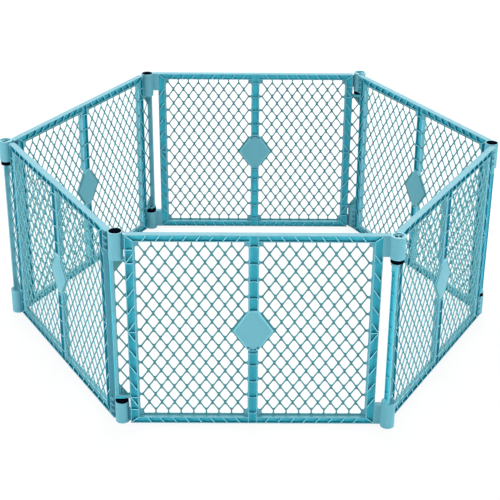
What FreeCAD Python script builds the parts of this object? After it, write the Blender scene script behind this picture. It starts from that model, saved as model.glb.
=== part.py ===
import FreeCAD, Part
import math
import os
import Sketcher

# Folding play yard: six identical moulded panels in a hexagon, every second one turned over about its
# long axis. Each panel carries two hinge barrels at its female end and a slim hinge post at its male end.
#
# Panel frame: X runs from the male end to the female end, +Y is the smooth side, Z is up and z = 0 lies at
# mid-height. The yard stands on z = 0 with its bounding box centred on the origin.

SIZES = (
    # overall
    ("pivot_span", 820.0, "between the two hinge axes of a panel"),
    ("hinge_height", 653.0, "over the ends of the hinge barrels"),
    ("rail_setback", 3.0, "rails lie this far inside the barrel ends"),
    ("hinge_offset", 12.0, "hinge axis from the mid-plane of a panel"),
    ("male_gap", 27.0, "hinge axis to the stile at the male end"),
    ("female_gap", 41.0, "hinge axis to the stile at the female end"),
    # frame moulding
    ("frame_depth", 20.0, "thickness of the frame"),
    ("web_thickness", 3.0, "web between the channels of the two faces"),
    ("flange", 3.0, "thickness of the channel walls"),
    ("rail_width", 22.0, "height of the top and bottom rails"),
    ("stile_width", 26.0, "width of the end stiles"),
    ("middle_width", 28.0, "width of the middle stile"),
    # medallion
    ("medallion_width", 123.0, "across the side points of the diamond"),
    ("medallion_back", 8.0, "mid-plane to the rear edge of its rim"),
    ("medallion_bevel", 4.5, "width of the sloping border"),
    ("medallion_rise", 1.5, "plateau above the rim"),
    ("medallion_ledge", 0.5, "ledge outside the sloping border"),
    # lattice
    ("cells_across", 8.0, "lattice cells across one field"),
    ("cells_up", 10.0, "lattice cells up one field"),
    ("side_stub", 12.0, "outermost lattice points to the stiles"),
    ("end_stub", 16.5, "outermost lattice points to the rails"),
    ("bar_width", 4.5, "width of a lattice bar"),
    ("bar_ridge", 2.2, "height of a bar's ridge over the parting plane"),
    ("lattice_parting", 7.0, "mid-plane to the parting plane of the lattice"),
    # female end
    ("barrel_diameter", 44.0, "outside of the hinge barrels"),
    ("barrel_length", 70.0, "length of a hinge barrel"),
    ("barrel_web", 4.0, "thickness of the web that carries a barrel"),
    ("ladder_rungs", 4.0, "stiffening rungs behind the barrel web"),
    ("ladder_rung", 4.0, "thickness of a rung"),
    ("rung_bite", 4.0, "rungs run this far into the barrel"),
    # male end
    ("post_width", 13.5, "width of the hinge post"),
    ("post_depth", 16.0, "depth of the hinge post"),
    ("post_setback", 1.0, "outer face of the post inside the barrel's outline"),
    ("post_bevel", 4.0, "bevel on the outer edges of the post"),
    ("collar_height", 17.0, "collar of the post under the pinned barrel"),
    ("foot_height", 6.0, "foot of the post beside the bush"),
    ("foot_reach", 12.0, "foot beyond the hinge axis"),
    ("gusset_height", 12.0, "plates that close the hinge strip"),
    ("gusset_depth", 8.0, "thickness of the closing plates"),
    # pins and bushes
    ("plug_diameter", 39.0, "plug of the hinge pin, which fills the pinned barrel"),
    ("pin_diameter", 12.0, "shank of the hinge pin and stub of the bush"),
    ("pin_reach", 12.0, "shank inside the collar"),
    ("ring_diameter", 40.0, "ring of the pivot bush"),
    ("ring_height", 15.0, "height of the ring"),
    ("stub_length", 5.0, "bush inside the foot"),
    ("running_clearance", 0.05, "radial, between a shank and its bore"),
    ("end_play", 0.4, "axial, between the parts of a hinge"),
)

doc = FreeCAD.newDocument("play_yard")
sheet = doc.addObject("Spreadsheet::Sheet", "dims")
size = {}
for row, (alias, value, note) in enumerate(SIZES, start=1):
    sheet.set(f"A{row}", alias)
    sheet.set(f"B{row}", f"{value:g}")
    sheet.setAlias(f"B{row}", alias)
    sheet.set(f"C{row}", note)
    size[alias] = value
doc.recompute()

# Lengths that several features share, as expressions of the sheet's cells.
HALF_WIDTH = "((dims.pivot_span - dims.male_gap - dims.female_gap) / 2)"
HALF_HEIGHT = "(dims.hinge_height / 2 - dims.rail_setback)"
HALF_DEPTH = "(dims.frame_depth / 2)"
STILE_INNER = f"({HALF_WIDTH} - dims.stile_width)"
RAIL_INNER = f"({HALF_HEIGHT} - dims.rail_width)"
HALF_MIDDLE = "(dims.middle_width / 2)"
CELL_WIDTH = f"(({STILE_INNER} - {HALF_MIDDLE} - 2 * dims.side_stub) / dims.cells_across)"
CELL_HEIGHT = f"(2 * ({RAIL_INNER} - dims.end_stub) / dims.cells_up)"
SLOPE = f"({CELL_HEIGHT} / {CELL_WIDTH})"
MEDALLION_TOP = f"((dims.medallion_width / 2 - {HALF_MIDDLE}) * {SLOPE})"
MALE_X = f"(-{HALF_WIDTH} - dims.male_gap)"
FEMALE_X = f"({HALF_WIDTH} + dims.female_gap)"
BARREL_INNER = "(dims.hinge_height / 2 - dims.barrel_length)"
POST_FOOT = f"({BARREL_INNER} - dims.ring_height - dims.end_play)"
POST_HEAD = f"({BARREL_INNER} - dims.end_play)"
POST_INNER = f"({MALE_X} - dims.barrel_diameter / 2 + dims.post_setback + dims.post_width)"
BORE = "(dims.pin_diameter / 2 + dims.running_clearance)"


def origin_plane(body, role):
    """One of the three base planes of a body, found by its role."""
    return next(item for item in body.Origin.OriginFeatures if item.Role == role)


def new_sketch(body, name, role, offset):
    """An empty sketch on a base plane of the body, moved along the plane's normal by an expression."""
    sketch = body.newObject("Sketcher::SketchObject", name)
    sketch.AttachmentSupport = [(origin_plane(body, role), "")]
    sketch.MapMode = "FlatFace"
    sketch.setExpression("AttachmentOffset.Base.z", offset)
    return sketch


def polygon_sketch(body, name, role, loops, offset="0"):
    """A sketch of closed polygons whose corners are held by expressions measured from the origin."""
    sketch = new_sketch(body, name, role, offset)
    for corners in loops:
        count = len(corners)
        first = sketch.GeometryCount
        step = 2 * math.pi / count
        start = [FreeCAD.Vector(math.cos(step * k), math.sin(step * k), 0) for k in range(count)]
        for k in range(count):
            sketch.addGeometry(Part.LineSegment(start[k], start[(k + 1) % count]), False)
        for k in range(count):
            following = first + (k + 1) % count
            sketch.addConstraint(Sketcher.Constraint("Coincident", first + k, 2, following, 1))
        for k, corner in enumerate(corners):
            for kind, expression in zip(("DistanceX", "DistanceY"), corner):
                index = sketch.addConstraint(Sketcher.Constraint(kind, -1, 1, first + k, 1, 1.0))
                sketch.setExpression(f"Constraints[{index}]", expression)
    return sketch


def circle_sketch(body, name, centre, radius, offset):
    """A sketch of one circle on the body's horizontal plane."""
    sketch = new_sketch(body, name, "XY_Plane", offset)
    sketch.addGeometry(Part.Circle(FreeCAD.Vector(1, 1, 0), FreeCAD.Vector(0, 0, 1), 5), False)
    for kind, expression in zip(("DistanceX", "DistanceY"), centre):
        index = sketch.addConstraint(Sketcher.Constraint(kind, -1, 1, 0, 3, 1.0))
        sketch.setExpression(f"Constraints[{index}]", expression)
    index = sketch.addConstraint(Sketcher.Constraint("Radius", 0, 5.0))
    sketch.setExpression(f"Constraints[{index}]", radius)
    return sketch


def rectangle(left, low, right, high):
    """Corners of an upright rectangle."""
    return [(left, low), (right, low), (right, high), (left, high)]


def pad(body, name, sketch, length, symmetric=False, backwards=False):
    """Adds material over a sketch."""
    feature = body.newObject("PartDesign::Pad", name)
    feature.Profile = sketch
    feature.setExpression("Length", length)
    feature.SideType = "Symmetric" if symmetric else "One side"
    feature.Reversed = backwards
    body.Tip = feature
    return feature


def pocket(body, name, sketch, length, symmetric=False, backwards=False):
    """Removes material under a sketch and makes sure that something was cut."""
    doc.recompute()
    feature = body.newObject("PartDesign::Pocket", name)
    feature.Profile = sketch
    feature.setExpression("Length", length)
    feature.SideType = "Symmetric" if symmetric else "One side"
    feature.Reversed = backwards
    body.Tip = feature
    doc.recompute()
    if not feature.Shape.Volume < feature.BaseFeature.Shape.Volume - 1e-3:
        raise RuntimeError(f"{name} cuts nothing")
    return feature


def mirror_up_down(body, name, originals):
    """Repeats features on the other side of mid-height."""
    feature = body.newObject("PartDesign::Mirrored", name)
    feature.Originals = originals
    feature.MirrorPlane = (origin_plane(body, "XY_Plane"), [""])
    body.Tip = feature
    return feature


def linear_pattern(body, name, originals, sketch, axis, length, occurrences):
    """Repeats features along an axis of a sketch."""
    feature = body.newObject("PartDesign::LinearPattern", name)
    feature.Originals = originals
    feature.Direction = (sketch, [axis])
    feature.setExpression("Length", length)
    feature.setExpression("Occurrences", occurrences)
    body.Tip = feature
    return feature


def window(side):
    """Opening of one lattice field, with the half of the medallion that reaches into it."""
    middle = f"({side} * {HALF_MIDDLE})"
    stile = f"({side} * {STILE_INNER})"
    point = f"({side} * dims.medallion_width / 2)"
    return [
        (middle, f"-{RAIL_INNER}"),
        (stile, f"-{RAIL_INNER}"),
        (stile, RAIL_INNER),
        (middle, RAIL_INNER),
        (middle, MEDALLION_TOP),
        (point, "0"),
        (middle, f"-{MEDALLION_TOP}"),
    ]


def side_channel(side):
    """Channel that runs through a stile and the halves of both rails on one side."""
    middle = f"({side} * {HALF_MIDDLE})"
    outer = f"({side} * ({HALF_WIDTH} - dims.flange))"
    inner = f"({side} * ({STILE_INNER} + dims.flange))"
    rail_out = f"({HALF_HEIGHT} - dims.flange)"
    rail_in = f"({RAIL_INNER} + dims.flange)"
    return [
        (middle, f"-{rail_out}"),
        (outer, f"-{rail_out}"),
        (outer, rail_out),
        (middle, rail_out),
        (middle, rail_in),
        (inner, rail_in),
        (inner, f"-{rail_in}"),
        (middle, f"-{rail_in}"),
    ]


def middle_channel(side):
    """Channel of the middle stile, above or below the medallion."""
    wall = f"({HALF_MIDDLE} - dims.flange)"
    ends = (f"({side} * {MEDALLION_TOP})", f"({side} * ({HALF_HEIGHT} - dims.flange))")
    return rectangle(f"-{wall}", ends[0], wall, ends[1])


def medallion_outline(inset):
    """Six-sided outline of the medallion, drawn in by a distance measured across its slopes."""
    across = f"({inset} * sqrt(1 + {SLOPE}^2) / {SLOPE})"
    point = f"(dims.medallion_width / 2 - {across})"
    top = f"({MEDALLION_TOP} - {inset})"
    shoulder = f"({point} - {top} / {SLOPE})"
    return [
        (point, "0"),
        (shoulder, top),
        (f"-{shoulder}", top),
        (f"-{point}", "0"),
        (f"-{shoulder}", f"-{top}"),
        (shoulder, f"-{top}"),
    ]


def panel_frame():
    """Frame moulding of one panel: rails, stiles, medallion, hinge barrels and hinge post."""
    body = doc.addObject("PartDesign::Body", "panel_frame")
    outline = polygon_sketch(body, "outline", "XZ_Plane",
                             [rectangle(f"-{HALF_WIDTH}", f"-{HALF_HEIGHT}", HALF_WIDTH, HALF_HEIGHT)])
    pad(body, "slab", outline, "dims.frame_depth", symmetric=True)
    windows = polygon_sketch(body, "windows", "XZ_Plane", [window("1"), window("-1")])
    pocket(body, "lattice_windows", windows, "2 * dims.frame_depth", symmetric=True)

    channels = polygon_sketch(
        body, "channels", "XZ_Plane",
        [side_channel("1"), side_channel("-1"), middle_channel("1"), middle_channel("-1")])
    pocket(body, "channel_cut", channels, "2 * dims.frame_depth", symmetric=True)
    pad(body, "channel_web", channels, "dims.web_thickness", symmetric=True)

    medallion(body)
    female_end(body)
    male_end(body)
    return body


def medallion(body):
    """Diamond plate in the middle, with a sloping border on both faces."""
    outline = polygon_sketch(body, "medallion_outline", "XZ_Plane", [medallion_outline("0")])
    pocket(body, "medallion_cut", outline, "2 * dims.frame_depth", symmetric=True)
    pad(body, "medallion_plate", outline, "dims.medallion_back")
    plateau = medallion_outline("dims.medallion_bevel")
    for name, offset, backwards in (("rear", "dims.medallion_back", False), ("front", "0", True)):
        base = polygon_sketch(body, f"medallion_{name}_rim", "XZ_Plane",
                              [medallion_outline("dims.medallion_ledge")], offset)
        reach = f"({offset} + dims.medallion_rise)" if not backwards else "(-dims.medallion_rise)"
        top = polygon_sketch(body, f"medallion_{name}_face", "XZ_Plane", [plateau], reach)
        loft = body.newObject("PartDesign::AdditiveLoft", f"medallion_{name}_plateau")
        loft.Profile = base
        loft.Sections = [top]
        loft.Ruled = True
        body.Tip = loft


def female_end(body):
    """Two hinge barrels, the webs that carry them and the rungs behind the webs."""
    axis = (FEMALE_X, "dims.hinge_offset")
    barrel = pad(body, "barrel", circle_sketch(body, "barrel_outline", axis, "dims.barrel_diameter / 2",
                                               BARREL_INNER), "dims.barrel_length")
    edge = f"({HALF_DEPTH} - dims.barrel_web)"
    plate = polygon_sketch(body, "barrel_web_outline", "XY_Plane",
                           [rectangle(STILE_INNER, edge, FEMALE_X, HALF_DEPTH)], BARREL_INNER)
    web = pad(body, "barrel_web", plate, f"{HALF_HEIGHT} - {BARREL_INNER}")
    rung = polygon_sketch(body, "rung_outline", "XY_Plane",
                          [rectangle(f"({HALF_WIDTH} - dims.flange / 2)", f"-{HALF_DEPTH}",
                                     f"({FEMALE_X} - dims.barrel_diameter / 2 + dims.rung_bite)", HALF_DEPTH)],
                          BARREL_INNER)
    pitch = f"(({HALF_HEIGHT} - {BARREL_INNER} - dims.ladder_rung) / (dims.ladder_rungs - 1))"
    first = pad(body, "rung", rung, "dims.ladder_rung")
    rows = body.newObject("PartDesign::MultiTransform", "ladder")
    row = body.newObject("PartDesign::LinearPattern", "ladder_rows")
    row.Direction = (rung, ["N_Axis"])
    row.setExpression("Length", f"(dims.ladder_rungs - 1) * {pitch}")
    row.setExpression("Occurrences", "dims.ladder_rungs")
    flip = body.newObject("PartDesign::Mirrored", "ladder_ends")
    flip.MirrorPlane = (origin_plane(body, "XY_Plane"), [""])
    rows.Originals = [first]
    rows.Transformations = [row, flip]
    body.Tip = rows
    mirror_up_down(body, "lower_barrel", [barrel, web])

    tube = circle_sketch(body, "plug_bore_outline", axis, "dims.plug_diameter / 2 + dims.running_clearance",
                         "dims.hinge_height / 2")
    pocket(body, "plug_bore", tube, "dims.barrel_length")


def male_end(body):
    """Slim hinge post with a collar and a foot, closed against the stile by two plates."""
    axis = (MALE_X, "-dims.hinge_offset")
    outer = f"({POST_INNER} - dims.post_width)"
    near = "(-dims.hinge_offset + dims.post_depth / 2)"
    far = "(-dims.hinge_offset - dims.post_depth / 2)"
    bevel = "dims.post_bevel"
    gusset_front = f"(-{HALF_DEPTH} + dims.gusset_depth)"
    plan = [rectangle(POST_INNER, f"-{HALF_DEPTH}", f"(-{HALF_WIDTH} + dims.flange / 2)", gusset_front)]
    upper = polygon_sketch(body, "upper_gusset_outline", "XY_Plane", plan,
                           f"({POST_FOOT} - dims.gusset_height)")
    pad(body, "upper_gusset", upper, "dims.gusset_height")
    lower = polygon_sketch(body, "lower_gusset_outline", "XY_Plane", plan,
                           f"(dims.collar_height - {POST_HEAD} - dims.gusset_height / 2)")
    pad(body, "lower_gusset", lower, "dims.gusset_height")
    section = polygon_sketch(
        body, "post_section", "XY_Plane",
        [[(POST_INNER, far), (POST_INNER, near), (f"({outer} + {bevel})", near),
          (outer, f"({near} - {bevel})"), (outer, f"({far} + {bevel})"), (f"({outer} + {bevel})", far)]],
        f"-{POST_HEAD}")
    pad(body, "post", section, f"{POST_HEAD} + {POST_FOOT}")
    collar = circle_sketch(body, "collar_outline", axis, "dims.barrel_diameter / 2", f"-{POST_HEAD}")
    pad(body, "collar", collar, "dims.collar_height")
    sole = f"({MALE_X} + dims.foot_reach)"
    left, right = "(-dims.hinge_offset + dims.foot_reach)", "(-dims.hinge_offset - dims.foot_reach)"
    foot = polygon_sketch(
        body, "foot_outline", "XY_Plane",
        [[(sole, right), (sole, left), (f"({outer} + {bevel})", left), (outer, f"({near} - {bevel})"),
          (outer, f"({far} + {bevel})"), (f"({outer} + {bevel})", right)]],
        f"({POST_FOOT} - dims.foot_height)")
    pad(body, "foot", foot, "dims.foot_height")
    bore = circle_sketch(body, "collar_bore_outline", axis, BORE, f"-{POST_HEAD}")
    pocket(body, "collar_bore", bore, "dims.pin_reach + dims.end_play", backwards=True)
    socket = circle_sketch(body, "foot_bore_outline", axis, BORE, POST_FOOT)
    pocket(body, "foot_bore", socket, "dims.foot_height")


def lattice_layer(name, direction, side):
    """Ridged bars of the right-hand field on one side of the parting plane, all sloping one way."""
    body = doc.addObject("PartDesign::Body", name)
    body.AllowCompound = True
    half_bar = f"(dims.bar_width / 2 * sqrt(1 + {SLOPE}^2) / {SLOPE})"
    first = f"({HALF_MIDDLE} + dims.side_stub - (dims.cells_up / 2 - 1) * {CELL_WIDTH})"
    start = f"({first} - {direction} * {RAIL_INNER} / {SLOPE})"
    parting = "(-dims.lattice_parting)"
    section = polygon_sketch(
        body, f"{name}_section", "XY_Plane",
        [[(f"({start} - {half_bar})", parting), (f"({start} + {half_bar})", parting),
          (start, f"({parting} + {side} * dims.bar_ridge)")]], f"-{RAIL_INNER}")
    bar = pad(body, f"{name}_bar", section, f"2 * {RAIL_INNER}")
    bar.UseCustomVector = True
    bar.AlongSketchNormal = True
    bar.setExpression("Direction.x", f"{direction} * {CELL_WIDTH}")
    bar.setExpression("Direction.y", "0")
    bar.setExpression("Direction.z", CELL_HEIGHT)
    count = "(dims.cells_across + dims.cells_up - 1)"
    linear_pattern(body, f"{name}_row", [bar], section, "H_Axis", f"({count} - 1) * {CELL_WIDTH}", count)
    beyond = rectangle("-dims.pivot_span", "-dims.hinge_height", "2 * dims.pivot_span", "dims.hinge_height")
    trim = polygon_sketch(body, f"{name}_trim", "XZ_Plane", [beyond, window("1")])
    pocket(body, f"{name}_edge", trim, "4 * dims.frame_depth", symmetric=True)
    return body


def hinge_strip():
    """Narrow zigzag between the hinge post and the stile."""
    body = doc.addObject("PartDesign::Body", "hinge_strip")
    left, right = POST_INNER, f"(-{HALF_WIDTH})"
    low = f"(dims.collar_height + dims.gusset_height / 2 - {POST_HEAD})"
    high = f"({POST_FOOT} - dims.gusset_height)"
    count = f"(round(({high} - {low}) / {CELL_HEIGHT}))"
    pitch = f"(({high} - {low}) / {count})"
    rise = f"({pitch} / 2 / ({right} - {left}))"
    tall = f"(dims.bar_width / 2 * sqrt(1 + {rise}^2))"
    middle = f"({low} + {pitch} / 2)"
    chevron = polygon_sketch(
        body, "chevron_outline", "XZ_Plane",
        [[(right, low), (left, f"({middle} - {tall})"), (left, f"({middle} + {tall})"),
          (right, f"({low} + {pitch} + {tall})"), (right, f"({low} + {pitch} - {tall})"),
          (f"({left} + {tall} / {rise})", middle), (right, f"({low} + {tall})")]],
        "(dims.lattice_parting - dims.bar_ridge)")
    first = pad(body, "chevron", chevron, "2 * dims.bar_ridge")
    linear_pattern(body, "chevrons", [first], chevron, "V_Axis", f"({count} - 1) * {pitch}", count)
    beyond = rectangle(left, high, right, HALF_HEIGHT)
    end = polygon_sketch(body, "strip_end_outline", "XZ_Plane", [beyond])
    pocket(body, "strip_end", end, "4 * dims.frame_depth", symmetric=True)
    return body


def turned(name, loops):
    """A body turned about the vertical axis from a half section."""
    body = doc.addObject("PartDesign::Body", name)
    section = polygon_sketch(body, f"{name}_section", "XZ_Plane", loops)
    feature = body.newObject("PartDesign::Revolution", f"{name}_turning")
    feature.Profile = section
    feature.ReferenceAxis = (section, ["V_Axis"])
    feature.Angle = 360
    body.Tip = feature
    return body


def hinge_pin(name, enters_collar):
    """Plug that fills the pinned barrel and closes it with a flat round end. Where the ring of panels
    stays closed, a shank runs on into the collar."""
    top = "(dims.hinge_height / 2)"
    plug = "(dims.plug_diameter / 2)"
    shank = "(dims.pin_diameter / 2)"
    tip = f"({BARREL_INNER} - dims.end_play - dims.pin_reach)"
    section = [("0", top), (plug, top), (plug, BARREL_INNER)]
    section += [(shank, BARREL_INNER), (shank, tip), ("0", tip)] if enters_collar else [("0", BARREL_INNER)]
    return turned(name, [section])


def pivot_bush(name, enters_foot):
    """Ring on the inner end of the plain barrel. Where the ring of panels stays closed, it has a stub in
    the foot of the post."""
    low = f"(-{BARREL_INNER})"
    high = f"(dims.ring_height - {BARREL_INNER})"
    ring = "(dims.ring_diameter / 2)"
    shank = "(dims.pin_diameter / 2)"
    tip = f"({high} + dims.end_play + dims.stub_length)"
    section = [("0", low), (ring, low), (ring, high)]
    section += [(shank, high), (shank, tip), ("0", tip)] if enters_foot else [("0", high)]
    return turned(name, [section])


# Masters, each built once in the panel's own frame.
frame_master = panel_frame()
rising = lattice_layer("lattice_rising", "1", "1")
falling = lattice_layer("lattice_falling", "(-1)", "(-1)")
strip_master = hinge_strip()
mirrored = []
for source in (rising, falling):
    other = doc.addObject("Part::Mirroring", f"{source.Name}_left")
    other.Source = source
    other.Normal = FreeCAD.Vector(1, 0, 0)
    mirrored.append(other)
lattice_master = doc.addObject("Part::Compound", "panel_lattice")
lattice_master.Links = [rising, falling, *mirrored, strip_master]
pin_master = hinge_pin("pin_master", True)
open_pin_master = hinge_pin("open_pin_master", False)
bush_master = pivot_bush("bush_master", True)
open_bush_master = pivot_bush("open_bush_master", False)
doc.recompute()

# Where the panels stand. Each entry: place in the ring, middle angle of the panel, turned over or not,
# corner at its female end, and whether that corner is the one where the ring opens.
PANELS = (
    ("front", 270, True, "front_right", False),
    ("right_front", 330, False, "right", False),
    ("right_back", 30, True, "back_right", True),
    ("back", 90, False, "back_left", False),
    ("left_back", 150, True, "left", False),
    ("left_front", 210, False, "front_left", False),
)
half_turn = math.radians(180 / len(PANELS))
apothem = size["pivot_span"] * math.cos(half_turn)
half_width = (size["pivot_span"] - size["male_gap"] - size["female_gap"]) / 2
male_x = -half_width - size["male_gap"]
female_x = half_width + size["female_gap"]
centring = size["hinge_offset"] / math.cos(half_turn)


def panel_placement(angle, flipped):
    """Place of a panel whose middle lies at an angle, in degrees, round the ring."""
    outwards = FreeCAD.Vector(math.cos(math.radians(angle)), math.sin(math.radians(angle)), 0)
    along = FreeCAD.Vector(-outwards.y, outwards.x, 0)
    lean = size["hinge_offset"] * math.tan(half_turn)
    male_at = -(size["pivot_span"] / 2 - lean) if flipped else -(size["pivot_span"] / 2 + lean)
    centre = outwards * apothem + along * (male_at - male_x)
    centre += FreeCAD.Vector(centring, 0, size["hinge_height"] / 2)
    turn = FreeCAD.Rotation(FreeCAD.Vector(0, 0, 1), angle + 90)
    if flipped:
        turn = turn * FreeCAD.Rotation(FreeCAD.Vector(1, 0, 0), 180)
    return FreeCAD.Placement(centre, turn)


def placed(master, label, placement):
    """A copy of a master in its place in the yard."""
    link = doc.addObject("App::Link", label)
    link.LinkedObject = master
    link.Label = label
    link.Placement = placement
    return link


nodes = []
for place, angle, flipped, corner, opens in PANELS:
    here = panel_placement(angle, flipped)
    at_hinge = here * FreeCAD.Placement(FreeCAD.Vector(female_x, size["hinge_offset"], 0), FreeCAD.Rotation())
    nodes.append(placed(frame_master, f"frame_{place}", here))
    nodes.append(placed(lattice_master, f"lattice_{place}", here))
    nodes.append(placed(open_pin_master if opens else pin_master, f"hinge_pin_{corner}", at_hinge))
    nodes.append(placed(open_bush_master if opens else bush_master, f"pivot_bush_{corner}", at_hinge))
doc.recompute()

for item in doc.Objects:
    if "Invalid" in item.State or "Error" in item.State:
        raise RuntimeError(f"{item.Label}: {item.State}")
for node in nodes:
    if node.Shape.isNull() or not node.Shape.isValid():
        raise RuntimeError(f"{node.Label} has no valid shape")

os.makedirs("parts", exist_ok=True)
for node in nodes:
    node.Shape.exportStep(f"parts/{node.Label}.step")
    print(node.Label, len(node.Shape.Solids), round(node.Shape.Volume / 1000, 1))
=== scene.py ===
"""Folding play yard of six hinged lattice panels: moulded detail, finishes, floor, light and camera."""

import logging
import math
from collections.abc import Callable, Iterator
from contextlib import contextmanager
from dataclasses import dataclass, field
from enum import Enum

import bmesh
import bpy
import numpy as np
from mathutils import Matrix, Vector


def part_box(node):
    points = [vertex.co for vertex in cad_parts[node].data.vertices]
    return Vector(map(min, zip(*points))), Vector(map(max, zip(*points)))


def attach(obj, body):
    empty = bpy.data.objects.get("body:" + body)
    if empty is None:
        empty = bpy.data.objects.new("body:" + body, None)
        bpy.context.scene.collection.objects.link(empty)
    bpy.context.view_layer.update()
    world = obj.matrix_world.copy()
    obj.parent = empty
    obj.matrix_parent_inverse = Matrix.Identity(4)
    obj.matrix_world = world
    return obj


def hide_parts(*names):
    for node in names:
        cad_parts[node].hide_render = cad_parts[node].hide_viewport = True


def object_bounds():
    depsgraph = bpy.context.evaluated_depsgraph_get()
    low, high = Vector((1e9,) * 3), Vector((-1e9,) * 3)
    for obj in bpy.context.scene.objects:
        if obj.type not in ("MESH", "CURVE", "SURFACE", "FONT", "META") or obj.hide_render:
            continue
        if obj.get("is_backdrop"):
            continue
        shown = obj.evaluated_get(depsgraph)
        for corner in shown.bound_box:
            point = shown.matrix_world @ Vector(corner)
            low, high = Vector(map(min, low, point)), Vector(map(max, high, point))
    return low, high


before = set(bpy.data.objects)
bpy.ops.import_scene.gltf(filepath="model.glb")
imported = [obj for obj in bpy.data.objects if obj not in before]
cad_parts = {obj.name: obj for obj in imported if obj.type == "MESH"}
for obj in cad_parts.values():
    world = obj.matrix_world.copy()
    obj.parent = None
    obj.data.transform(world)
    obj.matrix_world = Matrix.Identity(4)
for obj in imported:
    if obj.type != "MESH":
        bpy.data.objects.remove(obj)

LOG = logging.getLogger("play_yard")
MM = 0.001
BOTH = (1.0, -1.0)
QUARTERS = tuple((hand, end) for hand in BOTH for end in BOTH)

# Merging distance, in millimetres, for shapes whose parts may touch.
FINE_MERGE = 0.001
# Shortest edge that stays, as a share of the merging distance.
SLIVER = 0.1
# Points round a turned shape.
TURN_STEPS = 48
# Share of a face's normal along an axis, over which the face looks along it and under which it is edge-on.
FACING = 0.9
EDGE_ON = 0.1


# ---- Where the panels stand ----


class Side(Enum):
    """A panel of the ring, with the corner at its post and the corner at its barrels."""

    FRONT = ("front_left", "front_right")
    RIGHT_FRONT = ("front_right", "right")
    RIGHT_BACK = ("right", "back_right")
    BACK = ("back_right", "back_left")
    LEFT_BACK = ("back_left", "left")
    LEFT_FRONT = ("left", "front_left")

    @property
    def label(self) -> str:
        """Name of the panel as its nodes carry it."""
        return self.name.lower()

    @property
    def body(self) -> str:
        """Moving body of the panel."""
        return f"panel_{self.label}"


@dataclass(frozen=True)
class PanelSizes:
    """Sizes of a panel in millimetres, measured from its middle: x towards the female end, y towards the
    side with the barrel webs, z up."""

    half_width: float = 376.0
    half_height: float = 323.5
    half_depth: float = 10.0
    half_web: float = 1.5
    flange: float = 3.0
    rail: float = 22.0
    stile: float = 26.0
    half_middle: float = 14.0
    male_gap: float = 27.0
    female_gap: float = 41.0
    hinge_offset: float = 12.0
    cells_across: int = 8
    cells_up: int = 10
    side_stub: float = 12.0
    end_stub: float = 16.5
    parting: float = -7.0
    medallion_half: float = 61.5
    post_inner: float = 410.5
    strip_low: float = -233.1
    strip_high: float = 229.1
    strip_cells: int = 8
    barrel_inner: float = 256.5
    barrel_outer: float = 326.5
    post_outer: float = 424.0
    post_clear: float = 222.0

    @property
    def stile_inner(self) -> float:
        """Inner edge of an end stile."""
        return self.half_width - self.stile

    @property
    def rail_inner(self) -> float:
        """Inner edge of a rail."""
        return self.half_height - self.rail

    @property
    def hinge_axis(self) -> tuple[float, float]:
        """x and y of the axis through the barrels."""
        return (self.half_width + self.female_gap, self.hinge_offset)

    @property
    def cell_width(self) -> float:
        """Width of a lattice cell."""
        return (self.stile_inner - self.half_middle - 2 * self.side_stub) / self.cells_across

    @property
    def cell_height(self) -> float:
        """Height of a lattice cell."""
        return 2 * (self.rail_inner - self.end_stub) / self.cells_up

    @property
    def first_x(self) -> float:
        """Column of lattice points next to the middle stile."""
        return self.half_middle + self.side_stub

    @property
    def top_z(self) -> float:
        """Uppermost row of lattice points."""
        return self.rail_inner - self.end_stub

    @property
    def medallion_rise(self) -> float:
        """Half the height of the medallion, point to point."""
        return self.medallion_half * self.cell_height / self.cell_width

    @property
    def medallion_top(self) -> float:
        """Height at which the medallion's slopes meet the middle stile."""
        return (self.medallion_half - self.half_middle) * self.cell_height / self.cell_width


@dataclass(frozen=True)
class PanelPlace:
    """Place of a panel in the yard, worked out from the hinge pins at its two ends."""

    side: Side
    origin: np.ndarray
    axes: np.ndarray

    @classmethod
    def between_pins(cls, side: Side, sizes: PanelSizes, height: float) -> "PanelPlace":
        """Finds the place of a panel.

        Args:
            side: the panel.
            sizes: sizes of a panel.
            height: height of the yard in metres.

        Returns:
            The place: the line between the two hinge axes, turned back by the small angle that the axes'
            offsets from the panel's mid-plane make.
        """
        pins = [np.mean(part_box(f"hinge_pin_{corner}"), axis=0) for corner in side.value]
        start, end = (complex(x, y) for x, y, _ in pins)
        hand = 1.0 if 2 * pins[1][2] > height else -1.0
        span = 2 * sizes.half_width + sizes.male_gap + sizes.female_gap
        turn = (end - start) / complex(span, hand * 2 * sizes.hinge_offset)
        turn /= abs(turn)
        across = turn * complex(0, hand)
        male = (-sizes.half_width - sizes.male_gap) * MM * turn - sizes.hinge_offset * MM * across
        centre = start - male
        axes = np.array([(turn.real, turn.imag, 0.0), (across.real, across.imag, 0.0), (0.0, 0.0, hand)])
        return cls(side, np.array([centre.real, centre.imag, height / 2]), axes)

    def to_yard(self, points: np.ndarray) -> np.ndarray:
        """Points in panel millimetres as points of the yard in metres.

        Args:
            points: array (..., 3).

        Returns:
            origin + x * first axis + y * second axis + z * third axis.
        """
        return self.origin + (points * MM) @ self.axes

    def to_panel(self, points: np.ndarray) -> np.ndarray:
        """Points of the yard in metres as points in panel millimetres: the inverse of to_yard."""
        return self.turn_back(points - self.origin) / MM

    def turn_back(self, directions: np.ndarray) -> np.ndarray:
        """Directions of the yard along the panel's own x, y and z."""
        return directions @ self.axes.T


# ---- Surfaces ----


def add_object(name: str, data: bpy.types.ID) -> bpy.types.Object:
    """A new object with these data, at the origin and linked to the scene."""
    thing = bpy.data.objects.new(name, data)
    bpy.context.scene.collection.objects.link(thing)
    return thing


@contextmanager
def edited(mesh: bpy.types.Mesh) -> Iterator[bmesh.types.BMesh]:
    """A mesh opened for editing and written back at the end."""
    shape = bmesh.new()
    shape.from_mesh(mesh)
    yield shape
    shape.to_mesh(mesh)
    shape.free()


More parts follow.
